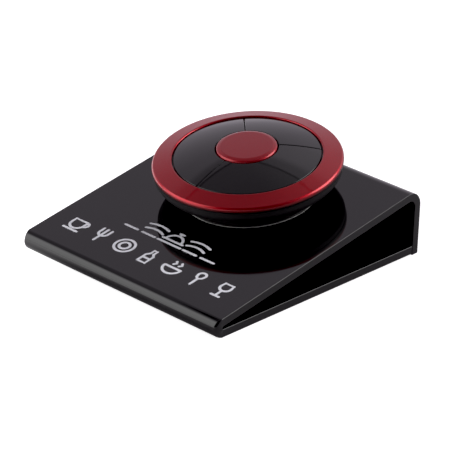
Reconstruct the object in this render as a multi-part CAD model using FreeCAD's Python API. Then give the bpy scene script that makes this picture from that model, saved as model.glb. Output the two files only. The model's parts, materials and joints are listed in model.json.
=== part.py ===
import FreeCAD, Part
import math
import os

# Wireless waiter call button on a bent acrylic table stand, in millimetres.
# Frame of the whole object: X across the stand, Y from its front fold to its rear wall,
# Z up. The origin is on the table, in the middle of the stand's footprint.
# The button itself is drawn on its own axis: Z along the axis, zero on the sloping
# plate that it is stuck to, and Y up the slope. place_button() then sets it there.

# --- stand: one bent sheet
sheet_t = 3.0
stand_width = 90.0
stand_depth = 103.2
fold_inner_r = 0.5
bend_inner_r = 2.9
top_slope = 10.5
base_rise = 0.28
wall_lean = 2.9
base_end_gap = 0.3
polish_r = 0.3

# --- where the button's axis meets the sloping plate
button_up_slope = 63.5
button_aside = -0.9

# --- fits
slide_fit = 0.05
case_fit = 0.15
screw_fit = 0.2
seam = 0.25
key_gap = 0.5
lip_gap = 0.15
stop_gap = 0.1

# --- foam tape and lower housing
pad_t = 0.25
pad_inner_r = 14.5
pad_margin = 1.5
wall = 1.6
floor_t = 1.6
foot_r = 23.9
foot_t = 0.5
foot_round = 0.4
neck_r = 23.2
neck_h = 4.1
bowl_depth = 4.15
bowl_round = 7.0
bowl_lean = 25.0
rim_r = 32.6
rim_band = 1.9
rim_bevel = 0.2
band_round = 0.25

# --- bezel, the red ring
bezel_overhang = 0.4
bezel_face = 7.05
bezel_proud = 0.66
bezel_bore_round = 0.5
crease_in = 0.6
crease_h = 2.3
crease_round = 0.1
shoulder_h = 1.88
shoulder_round = 1.3
belly_h = 0.7
belly_round = 0.8
bezel_tuck = 0.3
bezel_rib = 2.7
spigot_t = 0.8
spigot_drop = 0.7

# --- key frame
frame_t = 1.2
pin_r = 1.0
pin_h = 3.1
key_boss_wall = 0.85
frame_boss_r = 2.2
frame_boss_drop = 3.7

# --- keys
key_travel = 0.5
dome_r = 85.0
dome_above_rim = 7.4
key_cap = 1.4
key_wall = 1.2
key_corner = 0.5
key_edge = 0.3
flange_reach = 0.85
flange_t = 0.95
bore_above_pin = 0.6
post_r = 2.0
centre_r = 10.57
centre_gap = 0.38
centre_dome_r = 300.0
centre_proud = 0.24
centre_bevel = 1.57
centre_bevel_drop = 0.45
centre_edge = 1.0
centre_blend = 2.0
leg_ring = 8.0
leg_w = 2.4
leg_t = 1.0
hook_reach = 0.6
hook_h = 0.5
pipe_r = 0.35
pipe_x = -8.4
pipe_y = 4.2
pipe_collar = 0.6

# --- directions about the button's axis, in degrees from +X
seam_angles = (45.0, 135.0, 270.0)
guide_ring = 18.5
switch_ring = 18.5
housing_screw_ring = 20.0
board_screw_angles = (0.0, 120.0, 240.0)
bezel_screw_angles = (30.0, 150.0, 270.0)
centre_guide_ring = 6.0
centre_guide_angles = (60.0, 240.0)
leg_angles = (105.0, 285.0)

# --- circuit board and what it carries
board_t = 1.2
board_stand = 5.35
board_margin = 3.5
board_post_r = 2.0
board_post_inset = 3.0
board_screw_bite = 1.4
switch_side = 6.0
switch_h = 3.5
switch_window = 0.5
plunger_r = 1.75
plunger_proud = 0.8
plunger_collar = 0.45
plunger_collar_h = 0.75
plunger_lid = 0.6
plunger_room = 0.15
leg_foot_l = 1.4
leg_foot_w = 0.7

# --- button cell, its holder and door
cell_r = 10.0
cell_t = 3.2
cell_cap_r = 8.8
cell_cap_t = 0.3
cell_round = 0.2
holder_wall = 1.4
holder_fit = 0.2
holder_roof = 0.7
holder_round = 0.3
door_r = 12.0
door_fit = 0.2
door_round = 0.3
lug_root = 1.0
lug_reach = 1.2
lug_t = 0.8
lug_span = 24.0
lug_lift = 0.05
coin_slot_l = 14.0
coin_slot_w = 2.0
coin_slot_d = 0.8
contact_t = 0.3
contact_w = 5.0
contact_rise = 0.4
tongue_l = 12.0
bump_r = 1.25

# --- screws
screw_r = 1.1
screw_head_r = 2.0
screw_head_h = 1.5
small_screw_r = 0.8
small_head_r = 1.6
small_head_h = 0.9
small_screw_bite = 2.3
recess_w = 0.5
recess_d = 0.5
recess_share = 1.2
head_round_share = 0.4

# --- heights along the button's axis, from the plate up
floor_top = pad_t + floor_t
foot_top = pad_t + foot_t
bowl_bottom = foot_top + neck_h
band_bottom = bowl_bottom + bowl_depth
rim_top = band_bottom + rim_band
frame_top = rim_top
frame_bottom = frame_top - frame_t
key_bottom = frame_top + stop_gap + key_travel
flange_top = key_bottom + flange_t
lip_bottom = flange_top + lip_gap
dome_top = rim_top + dome_above_rim
centre_top = dome_top + centre_proud
board_bottom = floor_top + board_stand
board_top = board_bottom + board_t
switch_top = board_top + switch_h
post_bottom = switch_top + plunger_proud
frame_boss_bottom = frame_bottom - frame_boss_drop
screw_seat = pad_t + screw_head_h + case_fit
cell_bottom = floor_top + lug_lift + lug_t + slide_fit
cell_top = cell_bottom + cell_t

# --- radii about the button's axis
rim_inner_r = rim_r - wall
bezel_r = rim_r + bezel_overhang
bezel_bore = bezel_r - bezel_face
spigot_r = rim_inner_r - case_fit
frame_r = spigot_r - spigot_t - case_fit
bezel_screw_ring = frame_r - bezel_rib / 2
key_r = bezel_bore - key_gap
flange_r = bezel_bore + flange_reach
key_inner_r = centre_r + centre_gap
key_bore_r = pin_r + slide_fit
key_boss_r = key_bore_r + key_boss_wall
board_r = rim_inner_r - board_margin
board_screw_ring = board_r - board_post_inset
door_bore = door_r + door_fit
holder_r = cell_r + holder_fit + holder_wall

V = FreeCAD.Vector
UP = V(0, 0, 1)


def around(radius, degrees, height=0.0):
    angle = math.radians(degrees)
    return V(radius * math.cos(angle), radius * math.sin(angle), height)


def dome_height(radius, below=0.0):
    # The sphere that the sector keys share; below gives a parallel one inside it.
    return dome_top - dome_r + math.sqrt((dome_r - below) ** 2 - radius ** 2)


def rounded_wire(corners, to_point):
    # corners holds (a, b, radius) in a plane that to_point maps to space. Each corner
    # with a radius gets a tangent arc.
    count = len(corners)
    starts, ends, middles = [], [], []
    for i, (a, b, radius) in enumerate(corners):
        corner = V(a, b, 0)
        before = V(*corners[i - 1][:2], 0) - corner
        after = V(*corners[(i + 1) % count][:2], 0) - corner
        before.normalize()
        after.normalize()
        half = before.getAngle(after) / 2
        reach = radius / math.tan(half)
        starts.append(corner + before * reach)
        ends.append(corner + after * reach)
        inward = before + after
        if radius:
            inward.normalize()
            middles.append(corner + inward * (radius / math.sin(half) - radius))
        else:
            middles.append(corner)
    edges = []
    for i in range(count):
        if corners[i][2]:
            arc = [to_point(p.x, p.y) for p in (starts[i], middles[i], ends[i])]
            edges.append(Part.Arc(*arc).toShape())
        here, there = ends[i], starts[(i + 1) % count]
        if (there - here).Length > 1e-6:
            ends_at = [to_point(p.x, p.y) for p in (here, there)]
            edges.append(Part.LineSegment(*ends_at).toShape())
    return Part.Wire(edges)


def turned(corners, degrees=360.0):
    # A solid of revolution about the button's axis from a section of (radius, height, round).
    wire = rounded_wire(corners, lambda a, b: V(a, 0, b))
    return Part.Face(wire).revolve(V(0, 0, 0), UP, degrees)


def tube(outer, inner, low, high):
    return turned([(inner, low, 0), (outer, low, 0), (outer, high, 0), (inner, high, 0)])


def rod(radius, low, high, at=V(0, 0, 0)):
    return Part.makeCylinder(radius, high - low, V(at.x, at.y, low))


def block(size_x, size_y, low, high, at=V(0, 0, 0), turn=0.0):
    # An upright block centred on a point, with its X side turned by an angle.
    solid = Part.makeBox(size_x, size_y, high - low, V(-size_x / 2, -size_y / 2, low))
    solid.rotate(V(0, 0, 0), UP, turn)
    solid.translate(V(at.x, at.y, 0))
    return solid


def dome(radius, low, below=0.0):
    # A round block from a flat bottom up to the dome's sphere.
    rim = V(radius, 0, dome_height(radius, below))
    middle = V(radius / 2, 0, dome_height(radius / 2, below))
    crown = V(0, 0, dome_height(0, below))
    arc = Part.Arc(rim, middle, crown).toShape()
    sides = Part.makePolygon([crown, V(0, 0, low), V(radius, 0, low), rim]).Edges
    return Part.Face(Part.Wire(sides + [arc])).revolve(V(0, 0, 0), UP, 360)


def joined(first, *others):
    return first.multiFuse(list(others)).removeSplitter()


def screw(point, radius, head_r, head_h, length, up=True):
    # A pan-head screw that enters along the axis. Point is under its head.
    turn = 1 if up else -1
    shank = Part.makeCylinder(radius, length, point, UP * turn)
    tip_r = radius / 2
    tip = Part.makeCone(radius, tip_r, radius, point + UP * turn * length, UP * turn)
    head = Part.makeCylinder(head_r, head_h, point, UP * -turn)
    rims = [e for e in head.Edges if e.Curve.TypeId == "Part::GeomCircle"]
    outer = max(rims, key=lambda e: -turn * e.BoundBox.Center.z)
    head = head.makeFillet(head_h * head_round_share, [outer])
    crown = point.z - turn * head_h
    low, high = sorted((crown, crown + turn * recess_d))
    cross = [block(head_r * recess_share, recess_w, low, high, point, angle) for angle in (0, 90)]
    return joined(head, shank, tip).cut(cross)


# ---------------------------------------------------------------- stand

slope = math.radians(top_slope)
rise = math.radians(base_rise)
lean = math.radians(wall_lean)
fold_r = fold_inner_r + sheet_t
fold_y = -stand_depth / 2 + fold_r
fold_z = fold_r


def along(y, z, angle, distance):
    return y + distance * math.cos(angle), z + distance * math.sin(angle)


def crossing(point_a, angle_a, point_b, angle_b):
    # Where two lines in the side view meet, each given by a point and its direction.
    ay, az = math.cos(angle_a), math.sin(angle_a)
    by, bz = math.cos(angle_b), math.sin(angle_b)
    gap_y, gap_z = point_b[0] - point_a[0], point_b[1] - point_a[1]
    distance = (gap_y * bz - gap_z * by) / (ay * bz - az * by)
    return along(*point_a, angle_a, distance)


def stand_sheet():
    # Side outline of the bent sheet, from the bottom plate's free end round the front
    # fold, up the top plate, over the rear bend and down the rear wall.
    down = lean - math.pi / 2
    up_normal = slope + math.pi / 2
    fold = (fold_y, fold_z)
    top_outer = along(*fold, up_normal, fold_r)
    top_inner = along(*fold, up_normal, fold_inner_r)
    base_outer = along(*fold, rise - math.pi / 2, fold_r)
    base_inner = along(*fold, rise - math.pi / 2, fold_inner_r)
    wall_outer = (stand_depth / 2, sheet_t * math.sin(lean))
    wall_inner = (stand_depth / 2 - sheet_t * math.cos(lean), 0.0)
    base_stop = along(*wall_inner, lean + math.pi, base_end_gap)
    base_end_low = crossing(base_outer, rise, base_stop, down)
    base_end_high = crossing(base_inner, rise, base_stop, down)
    rear_outer = crossing(top_outer, slope, wall_outer, down)
    rear_inner = crossing(top_inner, slope, wall_inner, down)

    def at(point):
        return V(0, point[0], point[1])

    def bend(before, corner, after, radius):
        # A tangent arc that replaces a sharp corner.
        back, ahead = at(before) - at(corner), at(after) - at(corner)
        back.normalize()
        ahead.normalize()
        half = back.getAngle(ahead) / 2
        reach = radius / math.tan(half)
        middle = back + ahead
        middle.normalize()
        bulge = at(corner) + middle * (radius / math.sin(half) - radius)
        return at(corner) + back * reach, bulge, at(corner) + ahead * reach

    def line(start, end):
        return Part.LineSegment(start, end).toShape()

    outer_bend = bend(top_outer, rear_outer, wall_outer, bend_inner_r + sheet_t)
    inner_bend = bend(top_inner, rear_inner, wall_inner, bend_inner_r)
    front_outer = along(*fold, math.pi + (slope + rise) / 2, fold_r)
    front_inner = along(*fold, math.pi + (slope + rise) / 2, fold_inner_r)
    edges = [
        line(at(base_end_low), at(base_outer)),
        Part.Arc(at(base_outer), at(front_outer), at(top_outer)).toShape(),
        line(at(top_outer), outer_bend[0]),
        Part.Arc(*outer_bend).toShape(),
        line(outer_bend[2], at(wall_outer)),
        line(at(wall_outer), at(wall_inner)),
        line(at(wall_inner), inner_bend[2]),
        Part.Arc(*reversed(inner_bend)).toShape(),
        line(inner_bend[0], at(top_inner)),
        Part.Arc(at(top_inner), at(front_inner), at(base_inner)).toShape(),
        line(at(base_inner), at(base_end_high)),
        line(at(base_end_high), at(base_end_low)),
    ]
    side = Part.Face(Part.Wire(edges))
    side.translate(V(-stand_width / 2, 0, 0))
    sheet = side.extrude(V(stand_width, 0, 0))
    cut_sides = [e for e in sheet.Edges if e.BoundBox.XLength < 1e-6]
    return sheet.makeFillet(polish_r, cut_sides)


def place_button(solid):
    # From the button's own axis to its place on the sloping plate.
    foot_y, foot_z = along(fold_y, fold_z, slope + math.pi / 2, fold_r)
    foot_y, foot_z = along(foot_y, foot_z, slope, button_up_slope)
    placed = solid.copy()
    placed.rotate(V(0, 0, 0), V(1, 0, 0), top_slope)
    placed.translate(V(button_aside, foot_y, foot_z))
    return placed


# ---------------------------------------------------------------- housing

def adhesive_pad():
    return tube(foot_r - pad_margin, pad_inner_r, 0, pad_t)


def door_lugs(low, high, grow=0.0):
    # Three lugs round the door; grow widens them into the notches of the opening.
    lugs = []
    for turn in (90, 210, 330):
        half_span = lug_span / 2 + math.degrees(grow / door_r)
        inner, outer = door_r - lug_root, door_r + lug_reach + grow
        section = [(inner, low, 0), (outer, low, 0), (outer, high, 0), (inner, high, 0)]
        lug = turned(section, 2 * half_span)
        lug.rotate(V(0, 0, 0), UP, turn - half_span)
        lugs.append(lug)
    return lugs


def lower_housing():
    # A shallow bowl on a neck with a wider foot disc. A straight band at its rim takes
    # the bezel's spigot, and the bowl's side leans outwards up to the band's lower edge.
    lean_tan = math.tan(math.radians(bowl_lean))
    half_lean = math.radians(bowl_lean / 2)
    bowl_corner_r = rim_r - bowl_depth * lean_tan
    inner_corner_r = bowl_corner_r - wall * math.tan(math.radians(45) - half_lean)
    inner_bottom = bowl_bottom + wall
    inner_band = band_bottom + wall * math.tan(half_lean)
    foot_inner = neck_r - wall
    bowl = turned([
        (door_bore, pad_t, 0),
        (foot_r, pad_t, 0),
        (foot_r, foot_top, foot_round),
        (neck_r, foot_top, 0),
        (neck_r, bowl_bottom, 0),
        (bowl_corner_r, bowl_bottom, bowl_round),
        (rim_r, band_bottom, band_round),
        (rim_r, rim_top, rim_bevel),
        (rim_inner_r, rim_top, 0),
        (rim_inner_r, inner_band, 0),
        (inner_corner_r, inner_bottom, bowl_round - wall),
        (foot_inner, inner_bottom, 0),
        (foot_inner, floor_top, 0),
        (door_bore, floor_top, 0),
    ])
    solids, holes = [], []
    for angle in seam_angles:
        spot = around(housing_screw_ring, angle)
        solids.append(rod(screw_r + wall, floor_top, frame_boss_bottom, spot))
        holes.append(rod(screw_r + screw_fit, pad_t, frame_boss_bottom, spot))
        holes.append(rod(screw_head_r + screw_fit, pad_t, screw_seat, spot))
    for angle in board_screw_angles:
        spot = around(board_screw_ring, angle)
        solids.append(rod(board_post_r, bowl_bottom + wall / 2, board_bottom, spot))
        holes.append(rod(small_screw_r, board_bottom - board_screw_bite, board_bottom, spot))
    notches = door_lugs(pad_t, floor_top, door_fit)
    for notch in notches:
        notch.rotate(V(0, 0, 0), UP, 60)
    return joined(bowl, *solids).cut(holes + notches)


def battery_door():
    # A round door with three lugs over the floor's edge, and a coin slot underneath.
    plate = turned([
        (0, pad_t, 0), (door_r, pad_t, door_round), (door_r, floor_top, 0), (0, floor_top, 0),
    ])
    collar = tube(door_r, cell_cap_r, floor_top - floor_t / 2, floor_top + lug_lift + lug_t)
    lugs = door_lugs(floor_top + lug_lift, floor_top + lug_lift + lug_t)
    slot = block(coin_slot_l, coin_slot_w, pad_t, pad_t + coin_slot_d)
    return joined(plate, collar, *lugs).cut(slot)


def bezel():
    # The red ring: a sloping face from the bore that the keys stand in down to a crease,
    # a rounded side below it, a lip over the keys' flanges and a spigot into the rim.
    rib_inner = frame_r - bezel_rib
    crest = dome_height(bezel_bore) + bezel_proud
    spigot_bottom = frame_top - spigot_drop
    ring = turned([
        (bezel_bore, lip_bottom, 0),
        (bezel_bore, crest, bezel_bore_round),
        (bezel_r - crease_in, rim_top + crease_h, crease_round),
        (bezel_r, rim_top + shoulder_h, shoulder_round),
        (bezel_r, rim_top + belly_h, belly_round),
        (bezel_r - bezel_tuck, rim_top, 0),
        (spigot_r, rim_top, 0),
        (spigot_r, spigot_bottom, 0),
        (spigot_r - spigot_t, spigot_bottom, 0),
        (spigot_r - spigot_t, frame_top, 0),
        (rib_inner, frame_top, 0),
        (rib_inner, lip_bottom, 0),
    ])
    pilots = [rod(small_screw_r, frame_top, frame_top + small_screw_bite,
                  around(bezel_screw_ring, angle)) for angle in bezel_screw_angles]
    return ring.cut(pilots)


# ---------------------------------------------------------------- keys

def sector_span(index):
    # Start and end angle of the key that begins at a seam and runs anticlockwise.
    start = seam_angles[index]
    end = seam_angles[(index + 1) % len(seam_angles)]
    return (start, end if end > start else end + 360)


def sector_middle(index):
    return sum(sector_span(index)) / 2


def guide_angles(index):
    # Each key slides on two pins, well apart on both sides of its switch.
    start, end = sector_span(index)
    reach = 0.6 * (end - start) / 2
    middle = (start + end) / 2
    return (middle - reach, middle + reach)


def sector_prism(index, inner, outer, side, low, high, corner):
    # An upright block between two arcs and two sides that run parallel to the seams.
    start, end = sector_span(index)
    half = math.radians(end - start) / 2
    middle = (start + end) / 2
    apex = around(side / math.sin(half), middle, low)
    far = 3 * outer
    corners = [apex, apex + around(far, start), apex + around(far, middle),
               apex + around(far, end), apex]
    wedge = Part.Face(Part.makePolygon(corners)).extrude(UP * (high - low))
    prism = wedge.common(tube(outer, inner, low, high))
    upright = [e for e in prism.Edges
               if e.Curve.TypeId == "Part::GeomLine" and e.BoundBox.ZLength > (high - low) / 2]
    return prism.makeFillet(corner, upright)


def sector_key(index):
    # A moulded cap: part of the dome with rounded edges, walls all round, a flange that
    # the bezel's lip holds down, two guide bosses and a post over the switch.
    crown = dome_top
    cap = sector_prism(index, key_inner_r, key_r, seam / 2, key_bottom, crown, key_corner)
    cap = cap.common(dome(key_r + 1, key_bottom))
    top_edges = [e for e in cap.Edges if on_dome(e)]
    cap = cap.makeFillet(key_edge, top_edges)
    inner_corner = key_corner - key_wall if key_corner > key_wall else key_edge
    hollow = sector_prism(index, key_inner_r + key_wall, key_r - key_wall,
                          seam / 2 + key_wall, key_bottom, crown, inner_corner)
    hollow = hollow.common(dome(key_r + 1, key_bottom, key_cap))
    flange = sector_prism(index, key_r - key_wall, flange_r, seam / 2,
                          key_bottom, flange_top, key_edge)
    bosses, bores = [], []
    for angle in guide_angles(index):
        spot = around(guide_ring, angle)
        bosses.append(rod(key_boss_r, key_bottom, crown, spot))
        bores.append(rod(key_bore_r, key_bottom, frame_top + pin_h + bore_above_pin, spot))
    post = rod(post_r, post_bottom, crown, around(switch_ring, sector_middle(index)))
    inside = [b.common(dome(key_r, key_bottom, key_cap / 2)) for b in bosses + [post]]
    return joined(cap.cut(hollow), flange, *inside).cut(bores)


def on_dome(edge):
    middle = edge.valueAt((edge.FirstParameter + edge.LastParameter) / 2)
    return abs(middle.z - dome_height(math.hypot(middle.x, middle.y))) < 1e-4


def centre_height(radius):
    return centre_top - centre_dome_r + math.sqrt(centre_dome_r ** 2 - radius ** 2)


def centre_blank(low):
    # The centre key's outer shape: a nearly flat crown, a shallow bevel round it and a
    # softened rim.
    shoulder_r = centre_r - centre_bevel
    shoulder_height = centre_height(shoulder_r)
    rim_height = shoulder_height - centre_bevel_drop
    shoulder, rim = V(shoulder_r, 0, shoulder_height), V(centre_r, 0, rim_height)
    crown = V(0, 0, centre_top)
    half_way = V(shoulder_r / 2, 0, centre_height(shoulder_r / 2))
    arc = Part.Arc(shoulder, half_way, crown).toShape()
    sides = Part.makePolygon([crown, V(0, 0, low), V(centre_r, 0, low), rim, shoulder]).Edges
    blank = Part.Face(Part.Wire(sides + [arc])).revolve(V(0, 0, 0), UP, 360)

    def ring_edges(height):
        return [e for e in blank.Edges
                if e.BoundBox.ZLength < 1e-6 and abs(e.BoundBox.ZMin - height) < 1e-4]

    blank = blank.makeFillet(centre_edge, ring_edges(rim_height))
    return blank.makeFillet(centre_blend, ring_edges(shoulder_height))


def centre_key():
    # The red key: a raised disc with two guide bosses, a post over its switch, a collar
    # for the light pipe and two snap legs through the key frame.
    cap = centre_blank(key_bottom).cut(dome(centre_r - key_wall, key_bottom, key_cap))
    parts, bores = [], []
    for angle in centre_guide_angles:
        spot = around(centre_guide_ring, angle)
        parts.append(rod(key_boss_r, key_bottom, dome_top, spot))
        bores.append(rod(key_bore_r, key_bottom, frame_top + pin_h + bore_above_pin, spot))
    parts.append(rod(post_r, post_bottom, dome_top))
    spot = V(pipe_x, pipe_y, 0)
    parts.append(rod(pipe_r + pipe_collar, key_bottom, dome_top, spot))
    bores.append(rod(pipe_r, key_bottom, centre_top, spot))
    hook_top = frame_bottom - stop_gap
    hook_bottom = hook_top - hook_h
    for angle in leg_angles:
        hook_at = around(leg_ring - hook_reach / 2, angle)
        parts.append(block(leg_t, leg_w, hook_bottom, dome_top, around(leg_ring, angle), angle))
        parts.append(block(hook_reach + leg_t, leg_w, hook_bottom, hook_top, hook_at, angle))
    inside = dome(centre_r - key_wall / 2, hook_bottom, key_cap / 2)
    return joined(cap, *[p.common(inside) for p in parts]).cut(bores)


def light_pipe():
    # A clear rod through the centre key, from its face to just over the lamp.
    length = rod(pipe_r, frame_bottom, centre_top, V(pipe_x, pipe_y, 0))
    return length.common(centre_blank(frame_bottom))


def key_frame():
    # The inner frame: a plate screwed under the bezel, with windows for the switches,
    # guide pins for the keys, slots for the snap legs and bosses for the housing screws.
    plate = rod(frame_r, frame_bottom, frame_top)
    window = switch_side + 2 * switch_window
    holes = [block(window, window, frame_bottom, frame_top, spot, turn)
             for spot, turn in switch_spots()]
    pins = []
    for index in range(len(seam_angles)):
        pins += [around(guide_ring, angle) for angle in guide_angles(index)]
    pins += [around(centre_guide_ring, angle) for angle in centre_guide_angles]
    parts = [rod(pin_r, frame_bottom, frame_top + pin_h, spot) for spot in pins]
    for angle in seam_angles:
        spot = around(housing_screw_ring, angle)
        parts.append(rod(frame_boss_r, frame_boss_bottom, frame_bottom, spot))
        holes.append(rod(screw_r, frame_boss_bottom, frame_top - frame_t / 2, spot))
    slot_l, slot_w = leg_t + hook_reach + 2 * case_fit, leg_w + 2 * case_fit
    for angle in leg_angles:
        spot = around(leg_ring - hook_reach / 2, angle)
        holes.append(block(slot_l, slot_w, frame_bottom, frame_top, spot, angle))
    holes.append(rod(pipe_r + key_gap, frame_bottom, frame_top, V(pipe_x, pipe_y, 0)))
    for angle in bezel_screw_angles:
        spot = around(bezel_screw_ring, angle)
        holes.append(rod(small_screw_r + screw_fit, frame_bottom, frame_top, spot))
    return joined(plate, *parts).cut(holes)


# ---------------------------------------------------------------- electronics

def switch_spots():
    # Centre first, then one under the middle of each sector key, turned to face outwards.
    spots = [(V(0, 0, 0), 0.0)]
    for index in range(len(seam_angles)):
        angle = sector_middle(index)
        spots.append((around(switch_ring, angle), angle))
    return spots


def tact_switches():
    # Square bodies with a stepped bore that keeps the plunger's collar in, and four
    # gull-wing legs each.
    cavity_low = board_top + (switch_h - plunger_lid) - plunger_collar_h - key_travel - plunger_room
    bodies = []
    for spot, turn in switch_spots():
        body = block(switch_side, switch_side, board_top, switch_top, spot, turn)
        bore = rod(plunger_r + slide_fit, cavity_low, switch_top, spot)
        room = rod(plunger_r + plunger_collar + slide_fit, cavity_low, switch_top - plunger_lid, spot)
        legs = []
        for along_x, along_y in ((1, 1), (1, -1), (-1, 1), (-1, -1)):
            offset = V(along_x * switch_side / 2, along_y * switch_side / 3, 0)
            turned_offset = FreeCAD.Rotation(UP, turn).multVec(offset)
            leg_spot = spot + turned_offset
            legs.append(block(leg_foot_l, leg_foot_w, board_top, board_top + contact_t, leg_spot, turn))
        bodies.append(joined(body, *legs).cut([bore, room]))
    return Part.makeCompound(bodies)


def plunger(index):
    # Index 0 is the centre switch's plunger, then one for each sector key.
    spot = switch_spots()[index][0]
    collar_top = switch_top - plunger_lid - slide_fit
    stem = rod(plunger_r, collar_top - plunger_collar_h, post_bottom, spot)
    collar = rod(plunger_r + plunger_collar, collar_top - plunger_collar_h, collar_top, spot)
    return joined(stem, collar)


def circuit_board():
    board = rod(board_r, board_bottom, board_top)
    holes = [rod(frame_boss_r + case_fit, board_bottom, board_top, around(housing_screw_ring, angle))
             for angle in seam_angles]
    holes += [rod(small_screw_r + screw_fit, board_bottom, board_top, around(board_screw_ring, angle))
              for angle in board_screw_angles]
    return board.cut(holes)


def controller_chip():
    # A small-outline package with four legs on each long side.
    spot, body_l, body_w, body_h = V(9.0, 9.0, 0), 5.0, 3.9, 1.1
    leg_pitch, leg_length, leg_width, leg_top, lift = 1.27, 1.0, 0.4, 0.35, 0.1
    body = block(body_l, body_w, board_top + lift, board_top + body_h, spot)
    legs = []
    for step in (-1.5, -0.5, 0.5, 1.5):
        for side in (-1, 1):
            leg_spot = spot + V(step * leg_pitch, side * (body_w / 2 + leg_width), 0)
            legs.append(block(leg_width, leg_length, board_top, board_top + leg_top, leg_spot))
    return joined(body, *legs)


def surface_parts():
    # Resistors and capacitors in two rows between the switches.
    first, column_pitch, row_pitch = V(3.0, -9.5, 0), 2.0, 2.6
    chip_w, chip_l, chip_h = 1.0, 1.6, 0.55
    chips = []
    for row in range(2):
        for column in range(4):
            spot = first + V(column * column_pitch, -row * row_pitch, 0)
            chips.append(block(chip_w, chip_l, board_top, board_top + chip_h, spot))
    return Part.makeCompound(chips)


def resonator():
    can_l, can_w, can_h, can_round = 5.0, 3.8, 1.1, 0.6
    can = block(can_l, can_w, board_top, board_top + can_h, V(-10.0, -8.0, 0))
    upright = [e for e in can.Edges if e.BoundBox.ZLength > can_h / 2]
    return can.makeFillet(can_round, upright)


def antenna_wire():
    # A wire round the board's edge, soldered on the board at its start.
    wire_r, start, sweep, clear_of_board, foot_reach = 0.4, 165.0, 80.0, 1.4, 1.5
    ring_r = board_r + clear_of_board
    height = board_top + wire_r
    loop = Part.makeTorus(ring_r, wire_r, V(0, 0, height), UP, 0, 360, sweep)
    loop.rotate(V(0, 0, 0), UP, start)
    inner, outer = around(board_r - foot_reach, start, height), around(ring_r, start, height)
    foot = Part.makeCylinder(wire_r, (outer - inner).Length, inner, outer - inner)
    elbow = Part.makeSphere(wire_r, outer)
    return joined(loop, foot, elbow)


def indicator_led():
    lamp_l, lamp_w, lamp_h = 2.0, 1.25, 0.7
    return block(lamp_l, lamp_w, board_top, board_top + lamp_h, V(pipe_x, pipe_y, 0))


def battery():
    # A coin cell with its wide pole on the door and its narrow pole up.
    step = cell_top - cell_cap_t
    return turned([
        (0, cell_bottom, 0), (cell_r, cell_bottom, cell_round), (cell_r, step, cell_round),
        (cell_cap_r, step, 0), (cell_cap_r, cell_top, cell_round), (0, cell_top, 0),
    ])


def battery_holder():
    # An open cup under the board, round the cell, with a slot for the side contact.
    bore = cell_r + holder_fit
    roof = board_bottom - holder_roof
    mouth = floor_top + lug_lift + lug_t + lip_gap
    cup = turned([
        (0, roof, 0), (bore, roof, 0), (bore, mouth, 0), (holder_r, mouth, 0),
        (holder_r, board_bottom, holder_round), (0, board_bottom, 0),
    ])
    slot_at = V(cell_r + contact_t, 0, 0)
    slot = block(2 * contact_t, contact_w, floor_top, board_bottom, slot_at)
    window = rod(contact_w / 2, roof, board_bottom)
    return cup.cut([slot, window])


def positive_contact():
    # An upright strip that touches the cell's side.
    spot = V(cell_r + contact_t / 2 + slide_fit, 0, 0)
    return block(contact_t, contact_w, cell_bottom + contact_rise, board_bottom, spot)


def negative_contact():
    # A sprung tongue under the holder's roof that touches the cell's narrow pole.
    roof = board_bottom - holder_roof
    tongue = block(tongue_l, contact_w, roof - contact_t, roof)
    bump = rod(bump_r, cell_top + slide_fit, roof - contact_t / 2)
    stub = rod(bump_r, roof - contact_t / 2, board_bottom)
    return joined(tongue, bump, stub)


# ---------------------------------------------------------------- screws

def screws(ring, angles, height, *sizes, up=True):
    # Equal screws on a ring round the axis, one at each angle.
    return Part.makeCompound([screw(around(ring, angle, height), *sizes, up) for angle in angles])


def housing_screws():
    length = frame_bottom - screw_seat - screw_r
    return screws(housing_screw_ring, seam_angles, screw_seat, screw_r, screw_head_r,
                  screw_head_h, length)


def bezel_screws():
    length = frame_t + small_screw_bite - small_screw_r
    return screws(bezel_screw_ring, bezel_screw_angles, frame_bottom, small_screw_r,
                  small_head_r, small_head_h, length)


def board_screws():
    length = board_t + board_screw_bite - small_screw_r
    return screws(board_screw_ring, board_screw_angles, board_top, small_screw_r,
                  small_head_r, small_head_h, length, up=False)


button_pieces = {
    "adhesive_pad": adhesive_pad,
    "lower_housing": lower_housing,
    "battery_door": battery_door,
    "ring_bezel": bezel,
    "key_frame": key_frame,
    "back_key": lambda: sector_key(0),
    "left_key": lambda: sector_key(1),
    "right_key": lambda: sector_key(2),
    "centre_key": centre_key,
    "light_pipe": light_pipe,
    "circuit_board": circuit_board,
    "tact_switches": tact_switches,
    "centre_plunger": lambda: plunger(0),
    "back_plunger": lambda: plunger(1),
    "left_plunger": lambda: plunger(2),
    "right_plunger": lambda: plunger(3),
    "controller_chip": controller_chip,
    "surface_parts": surface_parts,
    "resonator": resonator,
    "antenna_wire": antenna_wire,
    "indicator_led": indicator_led,
    "battery": battery,
    "battery_holder": battery_holder,
    "positive_contact": positive_contact,
    "negative_contact": negative_contact,
    "housing_screws": housing_screws,
    "bezel_screws": bezel_screws,
    "board_screws": board_screws,
}


def main():
    os.makedirs("parts", exist_ok=True)
    pieces = {"stand_sheet": stand_sheet()}
    for name, make in button_pieces.items():
        pieces[name] = place_button(make())
    for name, solid in pieces.items():
        solid.exportStep("parts/" + name + ".step")
        box = solid.BoundBox
        print(name, len(solid.Solids), "solids", round(solid.Volume, 1), "mm3",
              "valid" if solid.isValid() else "INVALID",
              "z", round(box.ZMin, 2), round(box.ZMax, 2))


main()
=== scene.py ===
import json
import math

import bmesh
import bpy
from mathutils import Matrix, Vector


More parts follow.
